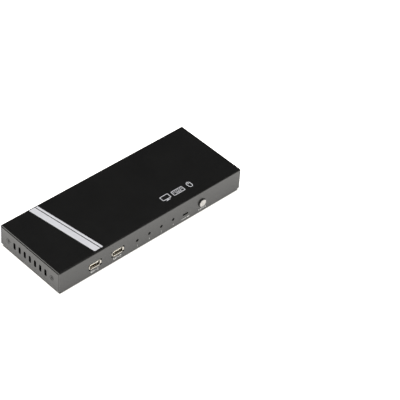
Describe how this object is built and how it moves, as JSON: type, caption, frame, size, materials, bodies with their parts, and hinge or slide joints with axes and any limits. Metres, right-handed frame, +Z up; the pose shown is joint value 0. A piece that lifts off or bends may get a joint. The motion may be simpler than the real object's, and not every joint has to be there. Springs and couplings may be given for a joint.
{
  "type": "kvm switch",
  "caption": "Flat black sheet-steel KVM switch box with USB, video and power sockets, indicator lamps, end vents and a round push button that selects the computer.",
  "frame": {"origin": "on the table under the middle of the case, at the rubber feet's undersides", "axes": "+X to the right along the front panel, +Y from the front panel to the rear, +Z up"},
  "size_m": [0.24, 0.0922, 0.0281],
  "materials": {
    "shell_coat": "fine-textured black powder coat, satin",
    "tray_coat": "fine-textured black powder coat, satin",
    "screw_black": "black oxide steel, semi-gloss",
    "rubber": "matt black moulded rubber",
    "socket_steel": "nickel-plated stamped steel, bright",
    "socket_plastic": "black moulded plastic",
    "socket_ivory": "ivory moulded plastic",
    "board_green": "green solder mask on glass-fibre board",
    "chip_black": "black moulded epoxy",
    "zinc_steel": "bright zinc-plated steel",
    "brass": "turned brass",
    "aluminium": "extruded aluminium, natural",
    "button_silver": "silver-grey moulded plastic, satin",
    "led_lens": "smoky clear epoxy, unlit"
  },
  "bodies": {
    "case": {"upper_shell": "shell_coat", "base_tray": "tray_coat", "case_screw_front_left": "screw_black", "case_screw_front_right": "screw_black", "case_screw_rear_left": "screw_black", "case_screw_rear_right": "screw_black", "rubber_foot_front_left": "rubber", "rubber_foot_front_right": "rubber", "rubber_foot_rear_left": "rubber", "rubber_foot_rear_right": "rubber", "main_board": "board_green", "standoff_front_left": "brass", "standoff_front_right": "brass", "standoff_rear_left": "brass", "standoff_rear_right": "brass", "board_screw_front_left": "zinc_steel", "board_screw_front_right": "zinc_steel", "board_screw_rear_left": "zinc_steel", "board_screw_rear_right": "zinc_steel", "video_switch_chip": "chip_black", "usb_hub_chip": "chip_black", "voltage_regulator": "chip_black", "power_inductor": "chip_black", "clock_crystal": "zinc_steel", "heat_sink": "aluminium", "filter_capacitor_1": "aluminium", "filter_capacitor_2": "aluminium", "usb_a_shell_1": "socket_steel", "usb_a_shell_2": "socket_steel", "usb_a_tongue_1": "socket_ivory", "usb_a_tongue_2": "socket_ivory", "remote_port_shell": "socket_steel", "remote_port_tongue": "socket_plastic", "hdmi_in_shell_1": "socket_steel", "hdmi_in_shell_2": "socket_steel", "hdmi_in_shell_3": "socket_steel", "hdmi_in_shell_4": "socket_steel", "hdmi_in_tongue_1": "socket_plastic", "hdmi_in_tongue_2": "socket_plastic", "hdmi_in_tongue_3": "socket_plastic", "hdmi_in_tongue_4": "socket_plastic", "hdmi_out_shell": "socket_steel", "hdmi_out_tongue": "socket_plastic", "usb_b_shell_1": "socket_steel", "usb_b_shell_2": "socket_steel", "usb_b_shell_3": "socket_steel", "usb_b_shell_4": "socket_steel", "usb_b_tongue_1": "socket_plastic", "usb_b_tongue_2": "socket_plastic", "usb_b_tongue_3": "socket_plastic", "usb_b_tongue_4": "socket_plastic", "dc_jack_body": "socket_plastic", "dc_jack_pin": "zinc_steel", "status_led_1": "led_lens", "status_led_2": "led_lens", "status_led_3": "led_lens", "status_led_4": "led_lens", "select_switch": "socket_plastic"},
    "button": {"select_button": "button_silver", "switch_plunger": "socket_plastic"}
  },
  "joints": [
    {"name": "select_press", "type": "slide", "parent": "case", "child": "button", "axis": [0, 1, 0], "range_m": [0, 0.0015], "stiffness_N_per_m": 700}
  ]
}
